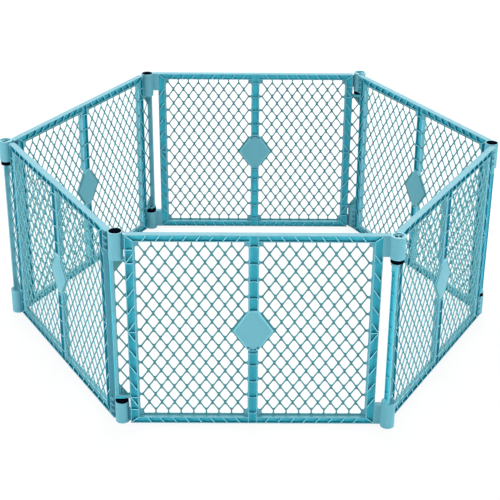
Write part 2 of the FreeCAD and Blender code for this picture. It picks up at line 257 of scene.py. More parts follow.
def vectors(parts: bpy.types.bpy_prop_collection, name: str) -> np.ndarray:
    """One attribute of a mesh's points or faces, as an array (n, 3)."""
    values = np.empty(len(parts) * 3)
    parts.foreach_get(name, values)
    return values.reshape(-1, 3)


def about(middle: float, width: float) -> tuple[float, float]:
    """The two ends of a span about its middle."""
    return (middle - width / 2, middle + width / 2)


def pairs(first: np.ndarray | float, second: np.ndarray | float) -> np.ndarray:
    """Points (n, 2) from two coordinates, of which either may be one number for all."""
    return np.stack(np.broadcast_arrays(*np.atleast_1d(first, second)), axis=-1)


def ring(axis: tuple[float, float], radius: float, height: float) -> np.ndarray:
    """Points (TURN_STEPS, 3) of a level circle about an upright axis."""
    angle = 2 * np.pi * np.arange(TURN_STEPS) / TURN_STEPS
    x, y = axis[0] + radius * np.cos(angle), axis[1] + radius * np.sin(angle)
    return np.stack([x, y, np.full(TURN_STEPS, height)], axis=-1)


@dataclass
class Surface:
    """Points and four-sided faces of one piece, gathered from several shapes."""

    points: list[np.ndarray] = field(default_factory=list)
    faces: list[np.ndarray] = field(default_factory=list)
    total: int = 0

    def add(self, points: np.ndarray, faces: np.ndarray) -> None:
        """Adds a shape.

        Args:
            points: array (n, 3) in panel millimetres.
            faces: array (m, 4) of indices into the points; a corner may be repeated in a three-sided face.
        """
        self.points.append(points.reshape(-1, 3))
        self.faces.append(faces.reshape(-1, 4) + self.total)
        self.total += self.points[-1].shape[0]

    def add_bands(self, loops: np.ndarray) -> None:
        """Adds closed bands between following loops.

        Args:
            loops: array (cells, loops, points round, 3). Point j of loop i is joined to point j + 1 of the
                same loop and to the same two points of loop i + 1.
        """
        cells, rows, around, _ = loops.shape
        index = np.arange(cells * rows * around).reshape(cells, rows, around)
        onward = np.roll(index, -1, axis=2)
        quads = np.stack([index[:, :-1], onward[:, :-1], onward[:, 1:], index[:, 1:]], axis=-1)
        self.add(loops, quads)

    def add_prisms(self, base: np.ndarray, top: np.ndarray) -> None:
        """Adds four-sided prisms.

        Args:
            base: array (n, 4, 3), the corners of one end, in order.
            top: array (n, 4, 3), the matching corners of the other end.
        """
        points = np.concatenate([base, top], axis=1)
        index = np.arange(points.shape[0] * 8).reshape(-1, 8)
        order = np.array([[0, 1, 2, 3], [7, 6, 5, 4], [0, 4, 5, 1], [1, 5, 6, 2], [2, 6, 7, 3], [3, 7, 4, 0]])
        self.add(points, index[:, order])

    def add_boxes(self, spans: np.ndarray) -> None:
        """Adds upright boxes.

        Args:
            spans: array (boxes, 3, 2) of the lowest and highest x, y and z.
        """
        low, high = spans[..., 0], spans[..., 1]
        pick = np.array([[0, 0], [1, 0], [1, 1], [0, 1]])
        flat = np.where(pick[None], high[:, None, :2], low[:, None, :2])
        heights = (low[:, None, 2], high[:, None, 2])
        self.add_prisms(*(np.insert(flat, 2, height, axis=-1) for height in heights))

    def add_drum(self, axis: tuple[float, float], radius: float, low: float, high: float) -> None:
        """Adds an upright drum: its wall is a circle carried from low to high, its ends are fans.

        Args:
            axis: x and y of the axis.
            radius: radius of the wall.
            low: lower end.
            high: upper end.
        """
        rings = [ring(axis, radius, height) for height in (low, high)]
        self.add_bands(np.stack(rings)[None])
        index = np.arange(TURN_STEPS)
        onward = np.roll(index, -1)
        middle = np.full(TURN_STEPS, TURN_STEPS)
        for points, order in zip(rings, ((onward, index), (index, onward))):
            centre = [[*axis, points[0, 2]]]
            self.add(np.vstack([points, centre]), np.stack([*order, middle, middle], axis=-1))

    def build(self, name: str, place: PanelPlace | None, merge: float = 0.02) -> bpy.types.Object:
        """Makes the object of the piece.

        Args:
            name: name of the object.
            place: where the panel stands, or None to leave the points in panel millimetres.
            merge: points nearer than this, in millimetres, become one.

        Returns:
            The object at the origin, with its place in its mesh and its faces pointing outwards.
        """
        mesh = bpy.data.meshes.new(name)
        points = np.concatenate(self.points)
        if place:
            points = place.to_yard(points)
            merge *= MM
        corners = np.concatenate(self.faces).tolist()
        mesh.from_pydata(points, [], [face[:3] if face[2] == face[3] else face for face in corners])
        with edited(mesh) as shape:
            bmesh.ops.remove_doubles(shape, verts=shape.verts, dist=merge)
            bmesh.ops.dissolve_degenerate(shape, edges=shape.edges, dist=merge * SLIVER)
            bmesh.ops.recalc_face_normals(shape, faces=shape.faces)
        return add_object(name, mesh)


def move_points(mesh: bpy.types.Mesh, move: Callable[[np.ndarray], np.ndarray]) -> None:
    """Moves the points of a mesh, an array (points, 3), to where move puts them."""
    mesh.vertices.foreach_set("co", move(vectors(mesh.vertices, "co")).ravel())
    mesh.update()


def tidy_mesh(mesh: bpy.types.Mesh, flat: bool, merge: float = 0.01, plane: float = 1.0) -> None:
    """Merges points that coincide, in panel millimetres.

    Args:
        mesh: the mesh.
        flat: also joins faces that lie in one plane.
        merge: points nearer than this, in millimetres, become one.
        plane: degrees within which faces count as lying in one plane.
    """
    with edited(mesh) as shape:
        bmesh.ops.remove_doubles(shape, verts=shape.verts, dist=merge)
        if flat:
            angle = math.radians(plane)
            bmesh.ops.dissolve_limit(shape, angle_limit=angle, verts=shape.verts, edges=shape.edges)


def carve(piece: bpy.types.Object, cutter: bpy.types.Object) -> None:
    """Cuts one closed shape out of another and removes the cutter.

    Args:
        piece: the object to cut.
        cutter: the closed shape to take away.
    """
    cut = piece.modifiers.new("cut", "BOOLEAN")
    cut.operation = "DIFFERENCE"
    cut.solver = "EXACT"
    cut.object = cutter
    ready = piece.evaluated_get(bpy.context.evaluated_depsgraph_get())
    spent, name = (cutter.data, piece.data), piece.data.name
    piece.data = bpy.data.meshes.new_from_object(ready)
    piece.modifiers.clear()
    bpy.data.objects.remove(cutter)
    for mesh in spent:
        bpy.data.meshes.remove(mesh)
    piece.data.name = name


def smooth_by_angle(piece: bpy.types.Object, degrees: float) -> None:
    """Shades a piece smooth, apart from edges sharper than an angle."""
    piece.data.shade_smooth()
    piece.data.set_sharp_from_angle(angle=math.radians(degrees))


def rounded_openings(corners: np.ndarray, insets: np.ndarray, radii: np.ndarray, steps: int) -> np.ndarray:
    """Outlines drawn in from polygons, with round corners.

    Each side is moved inwards by its inset. At a corner with turn t between the unit normals m (side before)
    and n (side after), the arc's centre c solves (c - corner) . m = inset before + r and
    (c - corner) . n = inset after + r, and the arc is c - r * (m turned by s * t) for s from 0 to 1.

    Args:
        corners: array (cells, sides, 2), anticlockwise.
        insets: array (sides,), for the side that starts at each corner.
        radii: array (sides,), for each corner.
        steps: points on each arc.

    Returns:
        Array (cells, sides * steps, 2).
    """
    run = np.roll(corners, -1, axis=1) - corners
    run /= np.linalg.norm(run, axis=-1, keepdims=True)
    after = np.stack([-run[..., 1], run[..., 0]], axis=-1)
    before = np.roll(after, 1, axis=1)
    reach_after = insets + radii
    reach_before = np.roll(insets, 1) + radii
    cross = before[..., 0] * after[..., 1] - before[..., 1] * after[..., 0]
    shift = np.stack([
        (reach_before * after[..., 1] - reach_after * before[..., 1]) / cross,
        (reach_after * before[..., 0] - reach_before * after[..., 0]) / cross,
    ], axis=-1)
    turn = np.arctan2(cross, (before * after).sum(-1))
    angle = turn[..., None] * np.linspace(0.0, 1.0, steps)
    cos, sin = np.cos(angle), np.sin(angle)
    arm_x = before[..., 0, None] * cos - before[..., 1, None] * sin
    arm_z = before[..., 0, None] * sin + before[..., 1, None] * cos
    centre = corners + shift
    arc = centre[:, :, None, :] - radii[None, :, None, None] * np.stack([arm_x, arm_z], axis=-1)
    return arc.reshape(corners.shape[0], -1, 2)


def outline_samples(corners: np.ndarray, steps: int, share: float) -> np.ndarray:
    """Points on polygons that pair with the points of their rounded openings.

    Args:
        corners: array (cells, sides, 2).
        steps: points for each corner.
        share: how far along the neighbouring sides the first and last point of a corner lie.

    Returns:
        Array (cells, sides * steps, 2): for each corner a point on the side before, the corner itself for
        every step between, and a point on the side after.
    """
    previous = np.roll(corners, 1, axis=1)
    following = np.roll(corners, -1, axis=1)
    first = corners + share * (previous - corners)
    last = corners + share * (following - corners)
    middle = [corners] * (steps - 2)
    return np.stack([first, *middle, last], axis=2).reshape(corners.shape[0], -1, 2)


# ---- Shared by the mouldings ----


class Zone(Enum):
    """Finishes of the mouldings; each is the material slot of its number. Only the face finish is the
    plastic's own colour; the others are painted light: painted highlights on edges and borders, painted shade
    in channels, on walls and on the lattice's bars.
    """

    FACE = 0
    EDGE = 1
    CHANNEL = 2
    WALL = 3
    RIDGE = 4
    BORDER = 5


@dataclass
class PanelPiece:
    """What the mouldings of a panel share: its sizes, its place and the finishes."""

    sizes: PanelSizes
    place: PanelPlace
    finishes: dict[Zone, bpy.types.Material]

    def middles_and_normals(self, piece: bpy.types.Object) -> tuple[np.ndarray, np.ndarray]:
        """Middles and normals of a piece's faces, along the panel's own axes.

        Args:
            piece: the object.

        Returns:
            Array (faces, 3) of middles in millimetres and array (faces, 3) of unit normals.
        """
        middles, normals = (vectors(piece.data.polygons, name) for name in ("center", "normal"))
        return self.place.to_panel(middles), self.place.turn_back(normals)

    def fill_slots(self, piece: bpy.types.Object, chosen: list[tuple[np.ndarray, Zone]], rest: Zone) -> None:
        """Gives a piece every finish and each of its faces one of them.

        Args:
            piece: the object.
            chosen: masks (faces,) with their finishes; the first mask that holds counts.
            rest: finish of the other faces.
        """
        for zone in Zone:
            piece.data.materials.append(self.finishes[zone])
        masks = [mask for mask, _ in chosen]
        slots = np.select(masks, [zone.value for _, zone in chosen], rest.value)
        piece.data.polygons.foreach_set("material_index", slots)


# ---- Lattice ----


@dataclass
class Lattice(PanelPiece):
    """Diamond lattice of one panel with the zigzag strip beside the post: a moulding with round-cornered
    openings and softly ridged bars."""

    half_bar: float = 2.1
    crest: float = 2.2
    rim: float = 0.9
    lip: float = 5.0
    side_lip: float = 3.4
    middle_lip: float = 1.6
    stub_half: float = 3.8
    radius: float = 5.0
    corner_radius: float = 3.5
    side_radius: float = 6.0
    strip_stub: float = 6.5
    strip_lip: float = 1.2
    strip_radius: float = 8.0
    foot_ribs: tuple[tuple[float, float], ...] = ((3.5, 24.0), (11.5, 18.0))
    foot_rib: float = 2.2
    foot_rib_height: float = 9.0
    steps: int = 4
    share: float = 1 / 3
    grow: float = 0.3
    off_tie: float = 0.3 / 7
    root: float = 7.0
    crease: float = 50.0
    side_slope: float = 0.3
    surface: Surface = field(default_factory=Surface)
    outlines: list[np.ndarray] = field(default_factory=list)

    @property
    def crests(self) -> tuple[float, float]:
        """Depths of the bars' two crests."""
        return (self.sizes.parting - self.crest, self.sizes.parting + self.crest)

    def openings(self, corners: np.ndarray, insets: np.ndarray, radii: np.ndarray) -> None:
        """Adds the moulding round a row of openings.

        The bar's height falls from its crest on the cell's outline to its rim at the opening, on both faces,
        with an upright wall between the two rims.

        Args:
            corners: array (cells, sides, 2) of x and z, anticlockwise.
            insets: inset of each side.
            radii: corner radius of each corner.
        """
        outline = outline_samples(corners, self.steps, self.share)
        self.outlines.append(outline)
        hole = rounded_openings(corners, insets, radii, self.steps)
        parting = self.sizes.parting
        rows = ((outline, self.crest), (hole, self.rim), (hole, -self.rim), (outline, -self.crest))
        loops = [np.insert(flat, 1, parting + height, axis=-1) for flat, height in rows]
        self.surface.add_bands(np.stack(loops, axis=1))

    def close_sides(self) -> None:
        """Adds upright walls from crest to crest along every stretch of outline that no neighbouring opening
        shares. A stretch is known by twice its middle, rounded after a small shift that keeps it off the
        ties."""
        starts = np.concatenate([outline.reshape(-1, 2) for outline in self.outlines])
        ends = np.concatenate([np.roll(outline, -1, axis=1).reshape(-1, 2) for outline in self.outlines])
        real = np.linalg.norm(ends - starts, axis=1) > self.grow
        starts, ends = starts[real], ends[real]
        middles = np.round(starts + ends + self.off_tie, 1)
        _, index, count = np.unique(middles, axis=0, return_index=True, return_counts=True)
        alone = index[count == 1]
        stretches = np.stack([starts[alone], ends[alone]], axis=1)
        low, high = (np.insert(stretches, 1, height, axis=-1) for height in self.crests)
        self.surface.add(np.concatenate([low, high[:, ::-1]], axis=1), np.arange(alone.size * 4))

    def diamonds(self, centres: np.ndarray) -> None:
        """Adds whole diamonds about centres, an array (cells, 2)."""
        half = np.array([self.sizes.cell_width / 2, self.sizes.cell_height / 2])
        spokes = np.array([[1, 0], [0, 1], [-1, 0], [0, -1]]) * half
        corners = centres[:, None, :] + spokes
        self.openings(corners, np.full(4, self.half_bar), np.full(4, self.radius))

    def houses(self, feet: np.ndarray, out: tuple[float, float], wide: float, stub: float, point: float,
               foot: tuple[float, float] | None = None) -> None:
        """Adds five-sided openings that stand on a rail, a stile or the post. Beside an upright the walls
        are thick and the foot keeps a rim.

        Args:
            feet: array (cells, 2), middle of each opening's foot.
            out: unit vector away from the foot.
            wide: width of the foot.
            stub: height of the walls.
            point: height of the point over the walls.
            foot: rim and corner radius at the foot, where they aren't the usual ones.
        """
        sideways = out[0] != 0
        wall = self.stub_half if sideways else self.half_bar
        usual = (self.side_lip, self.side_radius) if sideways else (self.lip, self.corner_radius)
        lip, foot_radius = foot or usual
        side = np.array([-out[1], out[0]]) * wide / 2
        out = np.array(out)
        shape = np.stack([side, -side, -side + out * stub, out * (stub + point), side + out * stub])
        insets = np.array([lip, wall, self.half_bar, self.half_bar, wall])
        radii = np.array([*[foot_radius] * 2, *[self.radius] * 3])
        self.openings(feet[:, None, :] + shape, insets, radii)

    def webs(self, corners: np.ndarray) -> None:
        """Adds closed patches of the moulding, grown a little so that they run into their neighbours.

        Args:
            corners: array (patches, 4, 2), anticlockwise.
        """
        away = corners - corners.mean(axis=1, keepdims=True)
        corners = corners + self.grow * away / np.linalg.norm(away, axis=-1, keepdims=True)
        self.surface.add_prisms(*(np.insert(corners, 1, height, axis=-1) for height in self.crests))

    def side_field(self, hand: float) -> None:
        """Adds the field on one side of the middle stile.

        Args:
            hand: 1 for the female side, -1 for the male side.
        """
        s = self.sizes
        wide, tall = s.cell_width, s.cell_height
        across = s.first_x + wide * np.arange(s.cells_across)
        up = -s.top_z + tall * np.arange(s.cells_up)
        rows = np.array([(x + wide / 2, z) for x in across for z in up[1:]])
        rows = rows[~((rows[:, 0] < across[0] + wide) & (np.abs(rows[:, 1]) < tall / 2))]
        gaps = np.array([(x, z + tall / 2) for x in across[1:] for z in up])
        self.diamonds(np.concatenate([rows, gaps]) * np.array([hand, 1.0]))
        middles = up + tall / 2
        inner = pairs(s.half_middle * hand, middles[np.abs(middles) > tall])
        outer = pairs(s.stile_inner * hand, middles)
        self.houses(inner, (hand, 0.0), tall, s.side_stub, wide / 2, (self.middle_lip, self.side_radius))
        self.houses(outer, (-hand, 0.0), tall, s.side_stub, wide / 2)
        for end in BOTH:
            feet = pairs((across + wide / 2) * hand, s.rail_inner * end)
            self.houses(feet, (0.0, -end), wide, s.end_stub, tall / 2)
        self.corner_webs(hand)

    def corner_webs(self, hand: float) -> None:
        """Adds the closed corners of a field and the web round the medallion's edge.

        Args:
            hand: 1 for the female side, -1 for the male side.
        """
        s = self.sizes
        inner, first, tall = s.half_middle, s.first_x, s.cell_height
        patches = [[(x0, z0), (x1, z0), (x1, z1), (x0, z1)]
                   for x0, x1 in ((inner, first), (s.stile_inner - s.side_stub, s.stile_inner))
                   for z0, z1 in ((s.top_z, s.rail_inner), (-s.rail_inner, -s.top_z))]
        point = first + s.cell_width
        patches.append([(inner, 0), (point, 0), (first, tall), (inner, tall)])
        patches.append([(inner, -tall), (first, -tall), (point, 0), (inner, 0)])
        corners = np.array(patches) * np.array([hand, 1.0])
        self.webs(corners if hand > 0 else corners[:, ::-1])

    def strip(self) -> None:
        """Adds the zigzag between the post and the male stile."""
        s = self.sizes
        left, right, bottom, top = -s.post_inner, -s.half_width, s.strip_low, s.strip_high
        pitch = (top - bottom) / s.strip_cells
        point = right - left - 2 * self.strip_stub
        row = np.arange(s.strip_cells)
        for foot, hand, rows in ((right, -1.0, row + 0.5), (left, 1.0, row[1:])):
            self.houses(pairs(foot, bottom + pitch * rows), (hand, 0.0), pitch, self.strip_stub, point,
                        (self.strip_lip, self.strip_radius))
        low, high = bottom + pitch / 2, top - pitch / 2
        outer, inner = left + self.strip_stub, right - self.strip_stub
        self.webs(np.array([
            [(left, high), (outer, high), (inner, top), (left, top)],
            [(left, bottom), (inner, bottom), (outer, low), (left, low)],
        ]))
        back = s.parting + self.crest / 2
        depth = (back, back + self.foot_rib_height)
        self.surface.add_boxes(np.array([
            [(left + x, left + x + self.foot_rib), depth, (top - reach, top + self.grow)]
            for x, reach in self.foot_ribs
        ]))

    def build(self) -> bpy.types.Object:
        """Makes the lattice of a panel.

        Returns:
            The piece, which stands for the panel's lattice node.
        """
        place = self.place
        for hand in BOTH:
            self.side_field(hand)
        self.strip()
        self.close_sides()
        piece = self.surface.build(f"diamond_lattice_{place.side.label}", place)
        smooth_by_angle(piece, self.crease)
        middles, normals = self.middles_and_normals(piece)
        # Painted light: the bars' side walls take the edge finish, a painted highlight; the bars away from
        # the stiles take the ridge finish, a darker, greyer painted shade; near the stiles they keep the
        # plain face colour.
        wall = np.abs(normals[:, 1]) < self.side_slope
        x = np.abs(middles[:, 0])
        root = (x < self.sizes.half_middle + self.root) | (x > self.sizes.stile_inner - self.root)
        root &= x < self.sizes.half_width
        self.fill_slots(piece, [(wall, Zone.EDGE), (root, Zone.FACE)], Zone.RIDGE)
        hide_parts(f"lattice_{place.side.label}")
        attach(piece, place.side.body)
        return piece


# ---- Frame moulding and its ribs ----


@dataclass
class FrameMoulding(PanelPiece):
    """Frame of one panel. Its edges are given a bevel of the width called edge, which Blender's clamp against
    overlaps narrows over the whole frame to about 0.01 mm."""

    edge: float = 0.9
    edge_steps: int = 2
    crease: float = 30.0
    slack: float = 0.4
    plate: float = 4.0
    dish_radius: float = 17.0
    dish_depth: float = 2.5
    core: tuple[float, float] = (9.0, 14.0)
    core_wall: float = 3.0
    core_depth: float = 30.0
    post_groove: float = 10.0
    groove_depth: float = 6.0
    rung: float = 2.4
    rungs: int = 8
    notch: float = 6.5
    notch_floor: float = -3.5
    notches: tuple[tuple[float, float], ...] = ((5.2, 60.8), (14.8, 54.5))
    border_slope: tuple[float, float] = (0.8, 0.99)
    beyond: float = 1.0

    def cutters(self) -> list[bpy.types.Object]:
        """Makes the shapes to cut away: the channel where it runs under the barrels' plates, a dish with two
        hollows in the plain barrel's end, the groove along the post, crossed by rungs, and four notches at
        one end of the medallion.

        Returns:
            Two cutters in panel millimetres, used one after the other, in which no two shapes touch.
        """
        s, beyond = self.sizes, self.beyond
        first, second = Surface(), Surface()
        near, far = s.stile_inner + s.flange, s.half_width - s.flange
        low, high = s.rail_inner + s.flange, s.half_height - s.flange
        through = (s.half_depth - self.plate - beyond, s.half_depth + beyond)
        for end in BOTH:
            upright = sorted((end * (s.barrel_inner - beyond), end * high))
            level = sorted((end * low, end * high))
            first.add_boxes(np.array([[(near, far), through, upright]]))
            second.add_boxes(np.array([[(s.stile_inner - beyond, near + beyond), through, level]]))
        x, y = s.hinge_axis
        outside, floor = -s.barrel_outer - beyond, -s.barrel_outer + self.dish_depth
        first.add_drum((x, y), self.dish_radius, outside, floor)
        inner, outer = self.core_wall / 2, self.core_wall / 2 + self.core[0]
        second.add_boxes(np.array([
            [sorted((x + hand * inner, x + hand * outer)), about(y, self.core[1]),
             (floor - beyond / 2, floor + self.core_depth)] for hand in BOTH
        ]))
        rungs = s.cell_height * (np.arange(self.rungs) - (self.rungs - 1) / 2)
        edges = np.concatenate([[-s.post_clear], rungs, [s.post_clear]])
        first.add_boxes(np.array([
            [(-s.post_outer - beyond, -s.post_outer + self.groove_depth), about(-y, self.post_groove),
             (a + self.rung / 2, b - self.rung / 2)] for a, b in zip(edges[:-1], edges[1:])
        ]))
        first.add_boxes(np.array([
            [about(hand * x, self.notch), (self.notch_floor, s.half_web + beyond), (z, z + self.notch)]
            for x, z in self.notches for hand in BOTH
        ]))
        return [surface.build("cutter", None, FINE_MERGE) for surface in (first, second)]

    def dress(self, piece: bpy.types.Object) -> None:
        """Chooses the finish of every face: painted shade for the web and the groove, and a darker painted
        shade for the inner sides of the flanges and for the floors of the notches. It gives a paler painted
        highlight to the medallion's sloping border and to the barrels' outer ends.

        Args:
            piece: the frame.
        """
        s, slack = self.sizes, self.slack
        middles, normals = self.middles_and_normals(piece)
        x, y, z = np.abs(middles).T
        turn_x, turn_y, turn_z = np.abs(normals).T
        level = turn_y > FACING
        in_medallion = x / s.medallion_half + z / s.medallion_rise < 1.0
        shaded_web = level & (y < s.half_web + slack) & ~in_medallion
        walls_x = [s.half_middle - s.flange, s.stile_inner + s.flange, s.half_width - s.flange]
        walls_z = [s.rail_inner + s.flange, s.half_height - s.flange]
        at_x = (np.abs(x[:, None] - walls_x) < slack).any(axis=1) & (turn_x > FACING)
        at_z = (np.abs(z[:, None] - walls_z) < slack).any(axis=1) & (turn_z > FACING)
        inside = (y > s.half_web) & (y < s.half_depth - slack) & (x < s.half_width)
        # Painted shade: the flanges' inner sides and the notches' floors take the darker wall finish.
        wall = (turn_y < EDGE_ON) & inside & (at_x | at_z)
        wall |= in_medallion & level & (np.abs(middles[:, 1] - self.notch_floor) < slack)
        shaded_groove = np.abs(middles[:, 1] + s.hinge_offset) < self.post_groove / 2 + slack
        shaded_groove &= middles[:, 0] < self.groove_depth - s.post_outer + slack
        shaded_groove &= (middles[:, 0] > -s.post_outer + slack) & (z < s.post_clear + slack)
        low, high = self.border_slope
        highlighted_border = in_medallion & (turn_y > low) & (turn_y < high)
        highlighted_border |= (z > s.barrel_outer - slack) & (turn_z > FACING)
        chosen = [(shaded_web | shaded_groove, Zone.CHANNEL), (wall, Zone.WALL), (highlighted_border, Zone.BORDER)]
        self.fill_slots(piece, chosen, Zone.FACE)

    def build(self) -> bpy.types.Object:
        """Makes the frame of a panel from a merged copy of its node. It is cut in panel millimetres rounded
        to thousandths, which keeps the flat faces exactly flat.

        Returns:
            The piece, which stands for the panel's frame node.
        """
        place = self.place
        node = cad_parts[f"frame_{place.side.label}"]
        mesh = node.data.copy()
        mesh.name = f"frame_moulding_{place.side.label}"
        mesh.materials.clear()
        piece = add_object(mesh.name, mesh)
        move_points(mesh, lambda points: np.round(place.to_panel(points), 3))
        tidy_mesh(mesh, flat=False)
        for cutter in self.cutters():
            carve(piece, cutter)
        tidy_mesh(piece.data, flat=True)
        move_points(piece.data, place.to_yard)
        smooth_by_angle(piece, self.crease)
        self.dress(piece)
        # The bevel's faces take the edge finish, a painted highlight along every edge.
        bevel = piece.modifiers.new("soft_edges", "BEVEL")
        bevel.material = Zone.EDGE.value
        bevel.width = self.edge * MM
        bevel.segments = self.edge_steps
        bevel.limit_method = "ANGLE"
        bevel.angle_limit = math.radians(self.crease)
        bevel.harden_normals = True
        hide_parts(node.name)
        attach(piece, place.side.body)
        return piece


@dataclass
class ChannelRibs(PanelPiece):
    """Stiffening ribs in the channels of one panel, on both faces, with the guard walls on its male stile and
    the ring round the foot of its bush."""

    thickness: float = 2.8
    crown: float = 2.4
    arch_thickness: float = 3.8
    arch_crown: float = 3.2
    below_edge: float = 0.1
    bite: float = 0.8
    stile_shift: float = 1 / 3
    end_rows: tuple[float, ...] = (49.0, 93.0)
    arch: float = 2.0
    arch_steps: int = 6
    guard_reach: float = 5.5
    guard_span: tuple[float, float] = (272.0, 320.0)
    sleeve: tuple[float, float] = (20.2, 21.8)
    sleeve_rise: float = 1.2
    crown_depth: float = 1.0
    crease: float = 30.0
    surface: Surface = field(default_factory=Surface)

    def add_ribs(self, starts: np.ndarray, ends: np.ndarray, signs: tuple = QUARTERS,
                 widths: tuple[float, float] | None = None) -> None:
        """Adds straight ribs that stand on the web, on both faces, mirrored to quarters of the panel.

        Across a rib the section is a trapezium: its foot is as wide as the thickness, its edge as the crown.

        Args:
            starts: array (ribs, 2) of x and z.
            ends: array (ribs, 2).
            signs: signs of x and z in each quarter.
            widths: width of the foot and of the crown, where they aren't the usual ones.
        """
        thick, crown = widths or (self.thickness, self.crown)
        foot = self.sizes.half_web - self.bite / 2
        edge = self.sizes.half_depth - self.below_edge
        section = ((1, thick, foot), (-1, thick, foot), (-1, crown, edge), (1, crown, edge))
        starts, ends = ((tips * np.array(signs)[:, None]).reshape(-1, 2) for tips in (starts, ends))
        run = ends - starts
        run /= np.linalg.norm(run, axis=1, keepdims=True)
        across = np.stack([-run[:, 1], run[:, 0]], axis=1)
        for face in BOTH:
            tips = []
            for tip in (starts - run * self.bite, ends + run * self.bite):
                corners = [np.insert(tip + across * side * wide / 2, 1, face * depth, axis=-1)
                           for side, wide, depth in section]
                tips.append(np.stack(corners, axis=1))
            self.surface.add_prisms(*tips)

    def rail_ribs(self) -> None:
        """Adds the sloping ribs of both rails, one for each lattice cell."""
        s = self.sizes
        low, high = s.rail_inner + s.flange, s.half_height - s.flange
        lean = (high - low) / 2 * s.cell_width / s.cell_height
        middles = s.first_x + s.cell_width * (np.arange(s.cells_across) + 0.5)
        self.add_ribs(pairs(middles + lean, low), pairs(middles - lean, high))

    def stile_ribs(self) -> None:
        """Adds the sloping ribs of both stiles, one along each mitre, the level ones at mid-height and, on
        the male side, near the ends."""
        s = self.sizes
        near, far = s.stile_inner + s.flange, s.half_width - s.flange
        rise = (far - near) / 2 * s.cell_height / s.cell_width
        rows = s.cell_height * (np.arange(s.cells_up // 2) + self.stile_shift)
        self.add_ribs(pairs(near, rows + rise), pairs(far, rows - rise))
        self.add_ribs(pairs(near, s.rail_inner + s.flange), pairs(far, s.half_height - s.flange))
        level = s.half_height - np.array(self.end_rows)
        self.add_ribs(pairs(near, level), pairs(far, level), signs=QUARTERS[2:])
        self.add_ribs(pairs(near, 0.0), pairs(far, 0.0), signs=QUARTERS[::2])

    def middle_ribs(self) -> None:
        """Adds the arched ribs of the middle stile at the heights of the lattice points, and one over each
        end of the medallion. Each arch is a row of short straight ribs along a parabola."""
        s = self.sizes
        rows = s.cell_height * np.arange(2, s.cells_up // 2 + 1)
        rows = np.append(rows, s.medallion_top + self.thickness)
        share = np.linspace(-1.0, 1.0, self.arch_steps + 1)
        height = rows[:, None] + self.arch * (1 - share**2)
        line = pairs(share * (s.half_middle - s.flange), height)
        self.add_ribs(line[:, :-1].reshape(-1, 2), line[:, 1:].reshape(-1, 2), QUARTERS[:2],
                      (self.arch_thickness, self.arch_crown))

    def guards(self) -> None:
        """Adds a thin wall on the male stile's outer side at each end, towards the neighbour's barrel. It
        takes the wall finish, painted shade, and fills the dark band beside the barrel.
        """
        s = self.sizes
        across = (-s.half_width - self.guard_reach, -s.half_width + self.bite)
        depth = (-s.half_web, s.half_web)
        low, high = self.guard_span
        self.surface.add_boxes(np.array([[across, depth, (low, high)], [across, depth, (-high, -low)]]))

    def sleeve_ring(self) -> None:
        """Adds the ring on the plain barrel's inner end, round the foot of the bush: a rectangle turned about
        the hinge axis. Its faces take the edge finish, a painted highlight that draws a light rim."""
        s = self.sizes
        low, high = -s.barrel_inner - self.bite, -s.barrel_inner + self.sleeve_rise
        inner, outer = self.sleeve
        section = ((outer, low), (outer, high), (inner, high), (inner, low), (outer, low))
        self.surface.add_bands(np.stack([ring(s.hinge_axis, *corner) for corner in section])[None])

    def build(self) -> bpy.types.Object:
        """Makes the ribs of a panel.

        Returns:
            The piece.
        """
        place = self.place
        self.rail_ribs()
        self.stile_ribs()
        self.middle_ribs()
        self.guards()
        self.sleeve_ring()
        piece = self.surface.build(f"channel_ribs_{place.side.label}", place, FINE_MERGE)
        smooth_by_angle(piece, self.crease)
        # Painted light: the ribs' crowns and the ring on the barrel take the edge finish, a painted
        # highlight; all other faces, the ribs' sides and the guard walls, take the wall finish, painted
        # shade.
        middles, normals = self.middles_and_normals(piece)
        crown = np.abs(normals[:, 1]) > FACING
        crown &= np.abs(middles[:, 1]) > self.sizes.half_depth - self.crown_depth
        crown |= middles[:, 0] > self.sizes.half_width
        self.fill_slots(piece, [(crown, Zone.EDGE)], Zone.WALL)
        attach(piece, place.side.body)
        return piece


# ---- Finishes ----


def linear(red: int, green: int, blue: int) -> tuple[float, float, float, float]:
    """A colour given in display steps of 0 to 255, as linear light, by the sRGB curve."""
    scaled = np.array([red, green, blue]) / 255
    light = np.where(scaled <= 0.04045, scaled / 12.92, ((scaled + 0.055) / 1.055) ** 2.4)
    return (*(float(v) for v in light), 1.0)


def grey(level: float) -> tuple[float, float, float, float]:
    """A grey in linear light."""
    return (level, level, level, 1.0)


def add_node(tree: bpy.types.NodeTree, kind: str, inputs: dict[str | int, object] | None = None,
             **settings: object) -> bpy.types.Node:
    """Adds a node to a tree.

    Args:
        tree: the tree.
        kind: type of the node, without the word ShaderNode.
        inputs: for each input, its value, the output that feeds it, or the node whose first output does.
        settings: settings of the node itself.

    Returns:
        The node.
    """
    node = tree.nodes.new(f"ShaderNode{kind}")
    for name, value in settings.items():
        setattr(node, name, value)
    for key, value in (inputs or {}).items():
        if isinstance(value, bpy.types.Node):
            value = next(output for output in value.outputs if output.enabled)
        if isinstance(value, bpy.types.NodeSocket):
            tree.links.new(value, node.inputs[key])
        else:
            node.inputs[key].default_value = value
    return node


def fresh_tree(block: bpy.types.Material | bpy.types.World) -> bpy.types.NodeTree:
    """The emptied node tree of a material or a world."""
    block.use_nodes = True
    block.node_tree.nodes.clear()
    return block.node_tree


